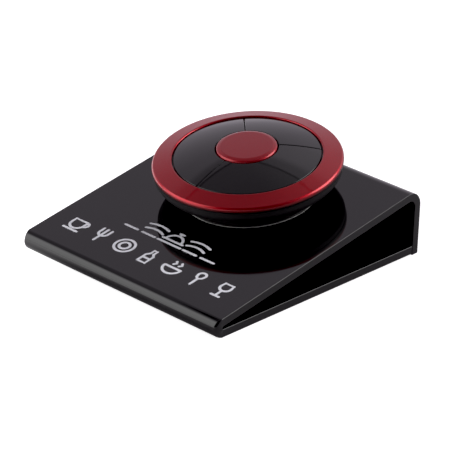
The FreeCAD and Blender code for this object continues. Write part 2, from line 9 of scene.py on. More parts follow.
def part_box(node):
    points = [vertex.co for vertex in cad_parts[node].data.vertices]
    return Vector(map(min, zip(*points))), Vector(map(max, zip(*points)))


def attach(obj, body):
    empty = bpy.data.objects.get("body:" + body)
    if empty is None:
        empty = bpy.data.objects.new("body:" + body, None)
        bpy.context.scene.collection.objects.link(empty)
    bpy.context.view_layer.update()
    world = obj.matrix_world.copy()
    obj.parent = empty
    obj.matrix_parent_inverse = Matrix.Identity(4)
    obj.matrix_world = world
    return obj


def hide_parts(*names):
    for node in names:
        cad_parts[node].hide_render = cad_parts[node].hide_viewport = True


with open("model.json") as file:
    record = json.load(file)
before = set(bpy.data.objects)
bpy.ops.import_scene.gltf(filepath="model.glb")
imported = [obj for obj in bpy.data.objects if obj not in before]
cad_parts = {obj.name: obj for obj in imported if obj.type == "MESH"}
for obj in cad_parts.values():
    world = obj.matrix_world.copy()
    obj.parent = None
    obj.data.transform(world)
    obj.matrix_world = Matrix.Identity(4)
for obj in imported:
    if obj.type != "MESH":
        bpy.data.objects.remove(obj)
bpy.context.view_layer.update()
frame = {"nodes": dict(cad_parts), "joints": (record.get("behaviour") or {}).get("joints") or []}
nodes = frame["nodes"]
mm = 0.001


# The button's own axis: the keys slide along it, and it starts on the sloping plate,
# half a tape's thickness under the middle of the round tape.
tapeThickness = 0.25 * mm
keyJoint = frame["joints"][0]
buttonAxis = -Vector(keyJoint["axis"]).normalized()
tapeLow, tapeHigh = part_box("adhesive_pad")
buttonFoot = (tapeLow + tapeHigh) / 2 - buttonAxis * tapeThickness / 2
slopeAngle = math.atan2(-buttonAxis.y, buttonAxis.z)
buttonPlace = Matrix.Translation(buttonFoot) @ Matrix.Rotation(slopeAngle, 4, "X")


def addNode(tree, kind, settings=None, **inputs):
    # Makes a node, sets its properties, and fills or links its inputs by name.
    node = tree.nodes.new(kind)
    for key, value in (settings or {}).items():
        setattr(node, key, value)
    for key, value in inputs.items():
        fill(tree, node.inputs[key.replace("_", " ")], value)
    return node


def fill(tree, socket, value):
    if isinstance(value, bpy.types.NodeSocket):
        tree.links.new(value, socket)
    else:
        socket.default_value = value


def calc(tree, operation, first, second=0.0, third=0.0):
    node = addNode(tree, "ShaderNodeMath", {"operation": operation})
    for socket, value in zip(node.inputs, (first, second, third)):
        fill(tree, socket, value)
    return node.outputs[0]


def product(tree, first, *others):
    for other in others:
        first = calc(tree, "MULTIPLY", first, other)
    return first


def vectorMath(tree, operation, first, second=(0.0, 0.0, 0.0), **others):
    node = addNode(tree, "ShaderNodeVectorMath", {"operation": operation}, **others)
    fill(tree, node.inputs[0], first)
    fill(tree, node.inputs[1], second)
    return node.outputs


def rising(tree, value, start, end=1.0, soft=False):
    # Goes from 0 to 1 while a value goes from start to end.
    settings = {"interpolation_type": "SMOOTHSTEP"} if soft else None
    return addNode(tree, "ShaderNodeMapRange", settings, Value=value, From_Min=start,
                   From_Max=end).outputs[0]


def mixed(tree, share, first, second):
    # A plain mix of two levels or colours.
    node = addNode(tree, "ShaderNodeMix", {"data_type": "RGBA"})
    for place, value in ((0, share), (6, first), (7, second)):
        fill(tree, node.inputs[place], value)
    return node.outputs[2]


def onSurface(tree):
    # The place on the piece, in metres.
    return addNode(tree, "ShaderNodeTexCoord").outputs["Object"]


def cloud(tree, place, size, **others):
    # Noise from 0 to 1, with patches of a given size.
    scale = calc(tree, "DIVIDE", 1.0, size)
    return addNode(tree, "ShaderNodeTexNoise", Vector=place, Scale=scale, **others).outputs["Fac"]


def newTree(name, kind, inputs, outputs):
    # A node group with named sockets; inputs is {name: value}, outputs is {name: kind}.
    tree = bpy.data.node_groups.new(name, kind)
    for label, value in inputs.items():
        if isinstance(value, tuple):
            socketKind = {3: "Vector", 4: "Color"}[len(value)]
        else:
            socketKind = "Int" if isinstance(value, int) else "Float"
        socket = tree.interface.new_socket(label, in_out="INPUT",
                                           socket_type="NodeSocket" + socketKind)
        socket.default_value = value
    for label, socketKind in outputs.items():
        tree.interface.new_socket(label, in_out="OUTPUT", socket_type="NodeSocket" + socketKind)
    given, result = tree.nodes.new("NodeGroupInput"), tree.nodes.new("NodeGroupOutput")
    return tree, given.outputs, result.inputs


def newShapeTree(name, sizes, drawn=False):
    # A Geometry Nodes tree with one named input for each size in a dictionary. Drawn
    # trees also take the carrier's own edges.
    tree, given, result = newTree(name, "GeometryNodeTree", sizes, {"Shape": "Geometry"})
    if drawn:
        strokes = tree.interface.new_socket("Strokes", in_out="INPUT",
                                            socket_type="NodeSocketGeometry")
        tree.interface.move(strokes, 0)
    tree.interface.new_socket("Finish", in_out="INPUT", socket_type="NodeSocketMaterial")
    return tree, given, result


def endShapeTree(tree, shape, given, result):
    # Real faces with a material come out of every tree.
    real = addNode(tree, "GeometryNodeRealizeInstances", Geometry=shape).outputs[0]
    painted = addNode(tree, "GeometryNodeSetMaterial", Geometry=real, Material=given["Finish"])
    tree.links.new(painted.outputs[0], result["Shape"])


def growShape(name, tree, sizes, finish, place=Matrix(), strokes=None):
    # Runs a shape tree and keeps what comes out as a plain mesh in its place.
    start = bpy.data.meshes.new(name)
    if strokes:
        start.from_pydata(*strokes, [])
    piece = bpy.data.objects.new(name, start)
    bpy.context.scene.collection.objects.link(piece)
    modifier = piece.modifiers.new("shape", "NODES")
    modifier.node_group = tree
    for item in tree.interface.items_tree:
        if item.in_out == "INPUT" and item.name in sizes:
            modifier[item.identifier] = sizes[item.name]
        elif item.name == "Finish":
            modifier[item.identifier] = finish
    graph = bpy.context.evaluated_depsgraph_get()
    mesh = bpy.data.meshes.new_from_object(piece.evaluated_get(graph))
    piece.modifiers.clear()
    piece.data = mesh
    mesh.transform(place)
    return piece


def cornerCurve(tree, corners, steps, axes, closed=False, inset=0.0):
    # A curve through named corners, each (first, second, rounding radius). Axes says
    # which two of X, Y and Z the first two go to, and with which sign.
    line = addNode(tree, "GeometryNodeCurvePrimitiveLine", End=(1.0, 0.0, 0.0)).outputs[0]
    points = addNode(tree, "GeometryNodeResampleCurve", {"mode": "COUNT"}, Curve=line,
                     Count=len(corners)).outputs[0]
    chosen = addNode(tree, "GeometryNodeIndexSwitch", {"data_type": "VECTOR"},
                     Index=addNode(tree, "GeometryNodeInputIndex").outputs[0])
    while len(chosen.index_switch_items) < len(corners):
        chosen.index_switch_items.new()
    for socket, corner in zip(list(chosen.inputs)[1:], corners):
        fill(tree, socket, corner)
    split = addNode(tree, "ShaderNodeSeparateXYZ", Vector=chosen.outputs[0]).outputs
    place = addNode(tree, "ShaderNodeCombineXYZ")
    for (axis, sign), value in zip(axes, (calc(tree, "SUBTRACT", split["X"], inset), split["Y"])):
        fill(tree, place.inputs[axis], calc(tree, "MULTIPLY", value, sign))
    curve = addNode(tree, "GeometryNodeSetPosition", Geometry=points,
                    Position=place.outputs[0]).outputs[0]
    if closed:
        curve = addNode(tree, "GeometryNodeSetSplineCyclic", Geometry=curve, Cyclic=True).outputs[0]
    return addNode(tree, "GeometryNodeFilletCurve", {"mode": "POLY"}, Curve=curve, Count=steps,
                   Radius=split["Z"]).outputs[0]


def closeSeams(piece, gap=0.0002 * mm):
    # Welds the seams of a closed shell and turns its faces outwards.
    build = bmesh.new()
    build.from_mesh(piece.data)
    bmesh.ops.remove_doubles(build, verts=build.verts, dist=gap)
    bmesh.ops.recalc_face_normals(build, faces=build.faces)
    build.to_mesh(piece.data)
    build.free()


def polish(piece, sharpAngle=32.0):
    # Smooth shading that breaks at sharp edges, with large faces keeping their own normal.
    piece.data.shade_smooth()
    piece.data.set_sharp_from_angle(angle=math.radians(sharpAngle))
    weighting = piece.modifiers.new("normals", "WEIGHTED_NORMAL")
    weighting.keep_sharp = True
    graph = bpy.context.evaluated_depsgraph_get()
    piece.data = bpy.data.meshes.new_from_object(piece.evaluated_get(graph))
    piece.modifiers.clear()


def polishedCopy(name, nodeName, finish):
    # A welded, smooth-shaded copy of a moulded CAD part, in the same place.
    source = nodes[nodeName].data
    mesh = bpy.data.meshes.new(name)
    mesh.from_pydata([v.co for v in source.vertices], [], [p.vertices for p in source.polygons])
    mesh.materials.append(finish)
    piece = bpy.data.objects.new(name, mesh)
    bpy.context.scene.collection.objects.link(piece)
    closeSeams(piece)
    polish(piece)
    return piece


def seat(piece, body, slotName, *replaced):
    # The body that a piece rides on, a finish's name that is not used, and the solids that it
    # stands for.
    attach(piece, body)
    if replaced:
        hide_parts(*replaced)


def makeHandling():
    # Wiped smudges and hairline rub marks, as a roughness that changes over the surface.
    tree, given, result = newTree("handling", "ShaderNodeTree",
        {"Roughness": 0.05, "Smudge": 0.05, "Smudge Size": 0.02, "Rub": 0.02, "Rub Size": 0.0004},
        {"Roughness": "Float"})
    smudgeLevels, rubLevels = (0.48, 0.72), (0.62, 0.75)  # of the noise, from no mark to a full one
    rubStretch, rubTurn = (1.0, 0.06, 0.3), (0.0, 0.0, 0.6)
    place = onSurface(tree)
    smudge = rising(tree, cloud(tree, place, given["Smudge Size"], Detail=4.0), *smudgeLevels)
    stretched = addNode(tree, "ShaderNodeMapping", Vector=place, Scale=rubStretch,
                        Rotation=rubTurn).outputs[0]
    rub = rising(tree, cloud(tree, stretched, given["Rub Size"], Detail=2.0), *rubLevels)
    smudged = calc(tree, "MULTIPLY_ADD", smudge, given["Smudge"], given["Roughness"])
    tree.links.new(calc(tree, "MULTIPLY_ADD", rub, given["Rub"], smudged), result["Roughness"])
    return tree


def makeTint():
    # Slow drift of a colour between two tones.
    tree, given, result = newTree("tint_drift", "ShaderNodeTree",
        {"Tone": (0.5, 0.5, 0.5, 1.0), "Other Tone": (0.4, 0.4, 0.4, 1.0), "Size": 0.01},
        {"Color": "Color"})
    driftLevels = (0.35, 0.65)  # of the noise, between the one tone and the other
    drift = cloud(tree, onSurface(tree), given["Size"], Detail=3.0)
    share = rising(tree, drift, *driftLevels)
    tree.links.new(mixed(tree, share, given["Tone"], given["Other Tone"]), result["Color"])
    return tree


def makeGrain():
    # Even texture of a moulded or cast surface, or its slow waves, as a height.
    tree, given, result = newTree("fine_grain", "ShaderNodeTree",
        {"Size": 0.0003, "Softness": 0.5}, {"Height": "Float"})
    fine = cloud(tree, onSurface(tree), given["Size"], Detail=3.0, Roughness=given["Softness"])
    tree.links.new(fine, result["Height"])
    return tree


def makeDust():
    # Sparse pale specks, as a mask.
    tree, given, result = newTree("dust_specks", "ShaderNodeTree",
        {"Spacing": 0.004, "Speck": 0.00012}, {"Mask": "Float"})
    spots = addNode(tree, "ShaderNodeTexVoronoi", Vector=onSurface(tree),
                    Scale=calc(tree, "DIVIDE", 1.0, given["Spacing"]))
    reach = calc(tree, "MULTIPLY", spots.outputs["Distance"], given["Spacing"])
    tree.links.new(calc(tree, "LESS_THAN", reach, given["Speck"]), result["Mask"])
    return tree


def makeFlake():
    # Metal flakes under a clear coat: each cell gets its own tone and its own small tilt.
    tree, given, result = newTree("metal_flake", "ShaderNodeTree",
        {"Size": 0.00012, "Tone": (0.3, 0.01, 0.02, 1.0), "Spread": 0.3, "Tilt": 0.06},
        {"Color": "Color", "Normal": "Vector"})
    cells = addNode(tree, "ShaderNodeTexVoronoi", Vector=onSurface(tree),
                    Scale=calc(tree, "DIVIDE", 1.0, given["Size"])).outputs["Color"]
    middle = 0.5  # of each cell's random values
    level = addNode(tree, "ShaderNodeSeparateColor", Color=cells).outputs[0]
    gain = calc(tree, "MULTIPLY_ADD", calc(tree, "SUBTRACT", level, middle), given["Spread"], 1.0)
    tree.links.new(vectorMath(tree, "SCALE", given["Tone"], Scale=gain)[0], result["Color"])
    centred = vectorMath(tree, "SUBTRACT", cells, (middle, middle, middle))[0]
    leaning = vectorMath(tree, "SCALE", centred, Scale=given["Tilt"])[0]
    facing = addNode(tree, "ShaderNodeNewGeometry").outputs["Normal"]
    tilted = vectorMath(tree, "ADD", facing, leaning)[0]
    tree.links.new(vectorMath(tree, "NORMALIZE", tilted)[0], result["Normal"])
    return tree


def makeBrushed():
    # Drawn or turned metal: long fine lines along one direction, as a height and roughness.
    tree, given, result = newTree("brushed_lines", "ShaderNodeTree",
        {"Line": 0.0002, "Stretch": (1.0, 0.03, 1.0), "Roughness": 0.25, "Spread": 0.15},
        {"Roughness": "Float", "Height": "Float"})
    pulled = vectorMath(tree, "MULTIPLY", onSurface(tree), given["Stretch"])[0]
    lines = cloud(tree, pulled, given["Line"], Detail=3.0)
    rough = calc(tree, "MULTIPLY_ADD", lines, given["Spread"], given["Roughness"])
    tree.links.new(lines, result["Height"])
    tree.links.new(rough, result["Roughness"])
    return tree


handling, tintDrift, fineGrain = makeHandling(), makeTint(), makeGrain()
dustSpecks, metalFlake, brushedLines = makeDust(), makeFlake(), makeBrushed()
print("shader groups:", len(bpy.data.node_groups))


def startMaterial(name, constants):
    # A material whose even values sit on the shader's own sockets.
    material = bpy.data.materials.new(name)
    material.use_nodes = True
    tree = material.node_tree
    shader = tree.nodes["Principled BSDF"]
    for label, value in constants.items():
        shader.inputs[label].default_value = value
    return material, tree, shader


def placeGroup(tree, group, values):
    node = addNode(tree, "ShaderNodeGroup", {"node_tree": group})
    for label, value in values.items():
        fill(tree, node.inputs[label], value)
    return node.outputs


def bump(tree, shader, height, depth, socket="Normal"):
    node = addNode(tree, "ShaderNodeBump", Height=height, Distance=depth, Strength=1.0)
    tree.links.new(node.outputs[0], shader.inputs[socket])


def roughen(tree, shader, wear):
    rough = placeGroup(tree, handling, wear)["Roughness"]
    tree.links.new(rough, shader.inputs["Roughness"])


def dusted(tree, colour, dust, speckColour=(0.5, 0.5, 0.5, 1.0)):
    return mixed(tree, placeGroup(tree, dustSpecks, dust)["Mask"], colour, speckColour)


def glossPlastic(name, look):
    # Smooth plastic or acrylic: drifting tone, wiped smudges, a few specks, slow waves.
    material, tree, shader = startMaterial(name, look["even"])
    colour = placeGroup(tree, tintDrift, look["tint"])["Color"]
    tree.links.new(dusted(tree, colour, look["dust"]), shader.inputs["Base Color"])
    roughen(tree, shader, look["marks"])
    bump(tree, shader, placeGroup(tree, fineGrain, look["waves"])["Height"], look["waveDepth"])
    return material


def aboveHeight(tree, height, fade):
    # 0 below a height over the button's own foot, and 1 from a fade's width above it.
    axis = buttonPlace.to_3x3() @ Vector((0.0, 0.0, 1.0))
    start = axis.dot(buttonPlace.translation) + height
    along = vectorMath(tree, "DOT_PRODUCT", onSurface(tree), axis)["Value"]
    return rising(tree, along, start, start + fade)


def lacquer(name, look):
    # Metallic lacquer under a clear coat that keeps the faint waves of sprayed paint. Below a
    # height over the button's foot it turns to a near-black tone with no metal and no coat:
    # painted shade on the ring's underside and on the centre key below the other keys.
    material, tree, shader = startMaterial(name, look["even"])
    flakes = placeGroup(tree, metalFlake, look["flake"])
    # painted is 0 below the shade foot, where painted shade takes the lacquer's place, and 1 a
    # fade's width above it
    painted = aboveHeight(tree, look["shadeFoot"], look["shadeFade"])
    colour = mixed(tree, painted, look["shadeTone"], dusted(tree, flakes["Color"], look["dust"]))
    tree.links.new(colour, shader.inputs["Base Color"])
    for label in ("Metallic", "Coat Weight"):
        tree.links.new(calc(tree, "MULTIPLY", painted, look["even"][label]), shader.inputs[label])
    tree.links.new(flakes["Normal"], shader.inputs["Normal"])
    roughen(tree, shader, look["marks"])
    waves = placeGroup(tree, fineGrain, look["waves"])["Height"]
    bump(tree, shader, waves, look["waveDepth"], "Coat Normal")
    return material


def mattPlastic(name, look):
    # Moulded, cast or foamed stuff: drifting tone with a fine grain.
    material, tree, shader = startMaterial(name, look["even"])
    colour = placeGroup(tree, tintDrift, look["tint"])["Color"]
    tree.links.new(colour, shader.inputs["Base Color"])
    roughen(tree, shader, look["marks"])
    bump(tree, shader, placeGroup(tree, fineGrain, look["grain"])["Height"], look["grainDepth"])
    return material


def plainMetal(name, look):
    # Plated, drawn or turned metal.
    material, tree, shader = startMaterial(name, look["even"])
    colour = placeGroup(tree, tintDrift, look["tint"])["Color"]
    tree.links.new(colour, shader.inputs["Base Color"])
    lines = placeGroup(tree, brushedLines, look["lines"])
    tree.links.new(lines["Roughness"], shader.inputs["Roughness"])
    bump(tree, shader, lines["Height"], look["lineDepth"])
    return material


def tones(first, second, size):
    return {"Tone": (*first, 1.0), "Other Tone": (*second, 1.0), "Size": size}


def marks(roughness, smudge=0.03, size=0.02, rub=0.01):
    return {"Roughness": roughness, "Smudge": smudge, "Smudge Size": size, "Rub": rub}


fewSpecks = {"Spacing": 0.011, "Speck": 0.00010}
acrylicLook = {
    "even": {"IOR": 1.49},
    "tint": tones((0.0016, 0.0014, 0.0018), (0.0022, 0.0019, 0.0024), 0.03),
    "dust": fewSpecks,
    "marks": marks(0.035, 0.03, 0.025, 0.01),
    "waves": {"Size": 0.018, "Softness": 0.2},
    "waveDepth": 0.00002,
}
keyLook = {
    "even": {"IOR": 1.50},
    "tint": tones((0.0085, 0.0072, 0.0083), (0.0100, 0.0085, 0.0098), 0.02),
    "dust": fewSpecks,
    "marks": marks(0.05, 0.03, 0.012, 0.01),
    "waves": {"Size": 0.012},
    "waveDepth": 0.00001,
}
housingLook = {
    "even": {"IOR": 1.45, "Specular IOR Level": 0.15},
    "tint": tones((0.0130, 0.0118, 0.0126), (0.0160, 0.0146, 0.0156), 0.02),
    "dust": fewSpecks,
    "marks": marks(0.55, 0.05, 0.010, 0.02),
    "waves": {"Size": 0.009},
    "waveDepth": 0.00001,
}
ringLook = {
    "even": {"Metallic": 0.88, "Coat Weight": 0.56, "Coat Roughness": 0.02, "Coat IOR": 1.5,
             "Specular IOR Level": 0.3},
    "flake": {"Size": 0.00011, "Tone": (0.328, 0.0026, 0.0100, 1.0), "Spread": 0.25,
              "Tilt": 0.10},
    "dust": fewSpecks,
    "marks": marks(0.38, 0.03, 0.012, 0.02),
    "waves": {"Size": 0.006},
    "waveDepth": 0.00004,
    # the ring turns near black below this height: painted shade on its underside
    "shadeFoot": 11.5 * mm,  # heights over the button's foot
    "shadeFade": 1.3 * mm,
    "shadeTone": (0.006, 0.006, 0.006, 1.0),
}
discLook = {
    **ringLook,
    "even": {**ringLook["even"], "Metallic": 0.65},
    "flake": {**ringLook["flake"], "Tone": (0.286, 0.0045, 0.0120, 1.0)},
    "marks": marks(0.42, 0.03, 0.012, 0.02),
    "waveDepth": 0.00001,
    # the centre key turns near black below this height: painted shade on its body below the other
    # keys
    "shadeFoot": 15.0 * mm,
    "shadeFade": 0.1 * mm,
}
blackMattLook = {
    "even": {"IOR": 1.5},
    "tint": tones((0.010, 0.010, 0.010), (0.015, 0.015, 0.016), 0.006),
    "marks": marks(0.45, 0.08, 0.008, 0.05),
    "grain": {"Size": 0.00025},
    "grainDepth": 0.00002,
}
foamLook = {
    "even": {"IOR": 1.4},
    "tint": tones((0.50, 0.50, 0.48), (0.36, 0.36, 0.34), 0.0012),
    "marks": marks(0.85, 0.05, 0.004, 0.0),
    "grain": {"Size": 0.0004, "Softness": 0.8},
    "grainDepth": 0.00012,
}
componentLook = {
    "even": {"IOR": 1.5},
    "tint": tones((0.018, 0.018, 0.019), (0.030, 0.030, 0.031), 0.002),
    "marks": marks(0.5, 0.1, 0.003, 0.05),
    "grain": {"Size": 0.00012},
    "grainDepth": 0.00001,
}
nylonLook = {
    "even": {"IOR": 1.53, "Subsurface Weight": 0.1, "Subsurface Scale": 0.001},
    "tint": tones((0.78, 0.77, 0.73), (0.68, 0.67, 0.62), 0.003),
    "marks": marks(0.38, 0.08, 0.003, 0.04),
    "grain": {"Size": 0.0003},
    "grainDepth": 0.00001,
}
lampLook = {
    "even": {"IOR": 1.49, "Transmission Weight": 0.6},
    "tint": tones((0.42, 0.36, 0.38), (0.34, 0.28, 0.30), 0.0005),
    "marks": marks(0.2, 0.1, 0.001, 0.02),
    "grain": {"Size": 0.0002},
    "grainDepth": 0.00001,
}
steelLook = {
    "even": {"Metallic": 1.0},
    "tint": tones((0.62, 0.61, 0.60), (0.50, 0.50, 0.50), 0.002),
    "lines": {"Line": 0.00012, "Stretch": (1.0, 1.0, 0.08), "Roughness": 0.22, "Spread": 0.2},
    "lineDepth": 0.00001,
}
cellLook = {
    "even": {"Metallic": 1.0},
    "tint": tones((0.66, 0.66, 0.67), (0.55, 0.55, 0.57), 0.005),
    "lines": {"Line": 0.00015, "Stretch": (0.05, 1.0, 1.0), "Roughness": 0.18, "Spread": 0.2},
    "lineDepth": 0.00001,
}
bronzeLook = {
    "even": {"Metallic": 1.0},
    "tint": tones((0.72, 0.56, 0.27), (0.58, 0.42, 0.18), 0.003),
    "lines": {"Line": 0.0001, "Stretch": (1.0, 0.05, 1.0), "Roughness": 0.2, "Spread": 0.25},
    "lineDepth": 0.00001,
}
inkLook = {
    "even": {"IOR": 1.45, "Specular IOR Level": 0.3},
    "tint": tones((0.80, 0.81, 0.85), (0.72, 0.73, 0.77), 0.006),
    "marks": marks(0.55, 0.1, 0.004, 0.05),
    "grain": {"Size": 0.0002},
    "grainDepth": 0.00001,
}


def boardMaterial():
    # Green solder mask over a web of slightly raised copper tracks.
    look = {
        "even": {"IOR": 1.5},
        "mask": tones((0.010, 0.105, 0.040), (0.006, 0.075, 0.028), 0.004),
        "marks": marks(0.28, 0.1, 0.005, 0.03),
        "track": (0.030, 0.20, 0.075, 1.0),
        "pitch": 0.0022,
        "turn": 0.785,
        "spread": 0.45,
        "trackMiddle": 0.36,  # shares of the pitch, as is the width
        "trackWidth": 0.16,
        "trackDepth": 0.00005,
    }
    material, tree, shader = startMaterial("solder_mask", look["even"])
    lay = addNode(tree, "ShaderNodeMapping", Vector=onSurface(tree), Scale=(1.0, 1.0, 0.0),
                  Rotation=(0.0, 0.0, look["turn"])).outputs[0]
    web = addNode(tree, "ShaderNodeTexVoronoi", {"distance": "CHEBYCHEV"}, Vector=lay,
                  Scale=1.0 / look["pitch"], Randomness=look["spread"]).outputs["Distance"]
    off = calc(tree, "ABSOLUTE", calc(tree, "SUBTRACT", web, look["trackMiddle"]))
    track = rising(tree, off, look["trackWidth"] / 2, look["trackWidth"] / 4)
    ground = placeGroup(tree, tintDrift, look["mask"])["Color"]
    tree.links.new(mixed(tree, track, ground, look["track"]), shader.inputs["Base Color"])
    roughen(tree, shader, look["marks"])
    bump(tree, shader, track, look["trackDepth"])
    return material


blackAcrylic = glossPlastic("black_acrylic", acrylicLook)
glossKeys = glossPlastic("gloss_keys", keyLook)
mattHousing = glossPlastic("matt_housing", housingLook)
redLacquer = lacquer("red_lacquer", ringLook)
redCap = lacquer("red_cap", discLook)
blackMatt = mattPlastic("black_matt", blackMattLook)
foamTape = mattPlastic("foam_tape", foamLook)
componentBody = mattPlastic("component_body", componentLook)
whiteNylon = mattPlastic("white_nylon", nylonLook)
lampPlastic = mattPlastic("lamp_plastic", lampLook)
printInk = mattPlastic("print_ink", inkLook)
nickelSteel = plainMetal("nickel_steel", steelLook)
cellCan = plainMetal("cell_can", cellLook)
springBronze = plainMetal("spring_bronze", bronzeLook)
solderMask = boardMaterial()

nodeFinish = {
    "adhesive_pad": foamTape, "lower_housing": mattHousing, "battery_door": blackMatt,
    "key_frame": blackMatt, "light_pipe": lampPlastic, "circuit_board": solderMask,
    "tact_switches": componentBody, "centre_plunger": whiteNylon, "back_plunger": whiteNylon,
    "left_plunger": whiteNylon, "right_plunger": whiteNylon, "controller_chip": componentBody,
    "surface_parts": componentBody, "resonator": nickelSteel, "antenna_wire": springBronze,
    "indicator_led": lampPlastic, "battery": cellCan, "battery_holder": blackMatt,
    "positive_contact": springBronze, "negative_contact": springBronze,
    "housing_screws": nickelSteel, "bezel_screws": nickelSteel, "board_screws": nickelSteel,
    "stand_sheet": blackAcrylic, "ring_bezel": redLacquer, "centre_key": redCap,
    "back_key": glossKeys, "left_key": glossKeys, "right_key": glossKeys,
}
for name, node in nodes.items():
    node.data.materials.clear()
    node.data.materials.append(nodeFinish[name])
print("materials:", len(bpy.data.materials))


def alongLine(point, angle, distance):
    return point[0] + distance * math.cos(angle), point[1] + distance * math.sin(angle)


def crossing(pointA, angleA, pointB, angleB):
    # Where two lines in the side view meet.
    ay, az, by, bz = math.cos(angleA), math.sin(angleA), math.cos(angleB), math.sin(angleB)
    gapY, gapZ = pointB[0] - pointA[0], pointB[1] - pointA[1]
    return alongLine(pointA, angleA, (gapY * bz - gapZ * by) / (ay * bz - az * by))


standLow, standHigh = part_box("stand_sheet")
# The stand is one sheet bent round two radii. Spans are half the angle that an effect
# spreads over.
stand = {
    "thickness": 3.0 * mm,
    "foldMidRadius": 2.0 * mm,
    "bendMidRadius": 4.4 * mm,
    "baseRise": math.radians(0.28),
    "wallLean": math.radians(2.9),
    "baseEndGap": 0.3 * mm,
    "edgeRound": 0.195 * mm,
    "edgeSteps": 5,
    "bendSteps": 28,
    "foldPull": 0.55 * mm,  # less width on the outside of the bend, half at each end
    "foldPullSpan": math.radians(85),
    "foldEdgeGrowth": 5.5,  # the ends' outer edges are this much rounder at the fold
    "foldRoundSpan": math.radians(100),
    "roundSlack": 1.02,  # takes in points that lie on the limit of the edge round
    "bendPull": 0.25 * mm,
    "bendPullSpan": math.radians(49),
}


def standCorners():
    # The sheet's mid-line: base end, front fold, rear bend and the wall's lower end.
    half, radius, lean = stand["thickness"] / 2, stand["foldMidRadius"], stand["wallLean"]
    foldAxis = (standLow.y + radius + half, radius + half)
    down = lean - math.pi / 2
    baseStart = alongLine(foldAxis, stand["baseRise"] - math.pi / 2, radius)
    plateStart = alongLine(foldAxis, slopeAngle + math.pi / 2, radius)
    wallEnd = (standHigh.y - half * math.cos(lean), half * math.sin(lean))
    innerEnd = (standHigh.y - 2 * half * math.cos(lean), 0.0)
    baseStop = alongLine(innerEnd, lean + math.pi, stand["baseEndGap"])
    baseEnd = crossing(baseStart, stand["baseRise"], baseStop, down)
    foldCorner = crossing(baseStart, stand["baseRise"], plateStart, slopeAngle)
    rearCorner = crossing(plateStart, slopeAngle, wallEnd, down)
    rearAxis = alongLine(rearCorner, (slopeAngle + down + math.pi) / 2 + math.pi,
                         -stand["bendMidRadius"] / math.cos((slopeAngle - down) / 2))
    return baseEnd, foldCorner, rearCorner, wallEnd, foldAxis, rearAxis


baseEnd, foldCorner, rearCorner, wallEnd, foldAxis, rearAxis = standCorners()
foldOutward = (slopeAngle + stand["baseRise"]) / 2 + math.pi
rearOutward = (slopeAngle + stand["wallLean"] - math.pi / 2) / 2 + math.pi / 2
standSizes = {
    "Base End": (*baseEnd, 0.0),
    "Front Fold": (*foldCorner, stand["foldMidRadius"]),
    "Rear Bend": (*rearCorner, stand["bendMidRadius"]),
    "Wall End": (*wallEnd, 0.0),
    "Sheet Width": standHigh.x - standLow.x,
    "Sheet Thickness": stand["thickness"],
    "Edge Round": stand["edgeRound"],
    "Edge Steps": stand["edgeSteps"],
    "Bend Steps": stand["bendSteps"],
    "Fold Axis": (0.0, *foldAxis),
    "Fold Outward": (0.0, math.cos(foldOutward), math.sin(foldOutward)),
    "Fold Reach": stand["foldMidRadius"] + stand["thickness"],
    "Fold Pull": stand["foldPull"],
    "Fold Edge Growth": stand["foldEdgeGrowth"],
    "Rear Axis": (0.0, *rearAxis),
    "Rear Outward": (0.0, math.cos(rearOutward), math.sin(rearOutward)),
    "Rear Reach": stand["bendMidRadius"] + stand["thickness"],
    "Rear Pull": stand["bendPull"],
}


def aroundBend(tree, axis, outward, reach, halfAngle):
    # Measures from a bend's axis: the arm, its length, the share of the bend's effect,
    # which is strongest at its middle, and the place across the sheet.
    spot = addNode(tree, "GeometryNodeInputPosition").outputs[0]
    inSideView = vectorMath(tree, "MULTIPLY", spot, (0.0, 1.0, 1.0))[0]
    arm = vectorMath(tree, "SUBTRACT", inSideView, axis)[0]
    radius = vectorMath(tree, "LENGTH", arm)["Value"]
    facing = vectorMath(tree, "DOT_PRODUCT", arm, outward)["Value"]
    share = rising(tree, calc(tree, "DIVIDE", facing, radius), math.cos(halfAngle), soft=True)
    inside = calc(tree, "LESS_THAN", radius, reach)
    across = addNode(tree, "ShaderNodeSeparateXYZ", Vector=spot).outputs["X"]
    return arm, radius, calc(tree, "MULTIPLY", share, inside), across


def roundOver(tree, shape, axis, outward, reach, midRadius, width, edgeRound, growth, halfAngle):
    # The outer corners of the sheet's ends widen into a soft round along the bend.
    arm, radius, share, across = aroundBend(tree, axis, outward, reach, halfAngle)
    half = calc(tree, "MULTIPLY", width, 0.5)
    edge = calc(tree, "SUBTRACT", half, calc(tree, "ABSOLUTE", across))
    depth = calc(tree, "SUBTRACT", midRadius + stand["thickness"] / 2, radius)
    limit = calc(tree, "MULTIPLY", edgeRound, stand["roundSlack"])
    corner = product(tree, *(calc(tree, "LESS_THAN", gap, limit) for gap in (edge, depth)))
    amount = product(tree, corner, share, calc(tree, "SUBTRACT", growth, 1.0))
    sideways = product(tree, edge, amount, calc(tree, "SIGN", across))
    sideways = addNode(tree, "ShaderNodeCombineXYZ", X=sideways).outputs[0]
    inwards = calc(tree, "DIVIDE", product(tree, depth, amount), radius)
    inwards = vectorMath(tree, "SCALE", arm, Scale=inwards)[0]
    back = vectorMath(tree, "SCALE", vectorMath(tree, "ADD", inwards, sideways)[0], Scale=-1.0)[0]
    return addNode(tree, "GeometryNodeSetPosition", Geometry=shape, Offset=back).outputs[0]


def pullIn(tree, shape, axis, outward, reach, midRadius, pull, halfAngle):
    # The stretched outside of a heat bend draws in at the sheet's edges, and its
    # squeezed inside swells out, each end by half of the pull.
    radius, share, across = aroundBend(tree, axis, outward, reach, halfAngle)[1:]
    stretch = calc(tree, "SUBTRACT", radius, midRadius)
    stretch = calc(tree, "DIVIDE", stretch, stand["thickness"] / 2)
    move = calc(tree, "MULTIPLY", share, calc(tree, "MULTIPLY", stretch, pull))
    move = product(tree, move, calc(tree, "SIGN", across), -0.5)
    offset = addNode(tree, "ShaderNodeCombineXYZ", X=move).outputs[0]
    return addNode(tree, "GeometryNodeSetPosition", Geometry=shape, Offset=offset).outputs[0]


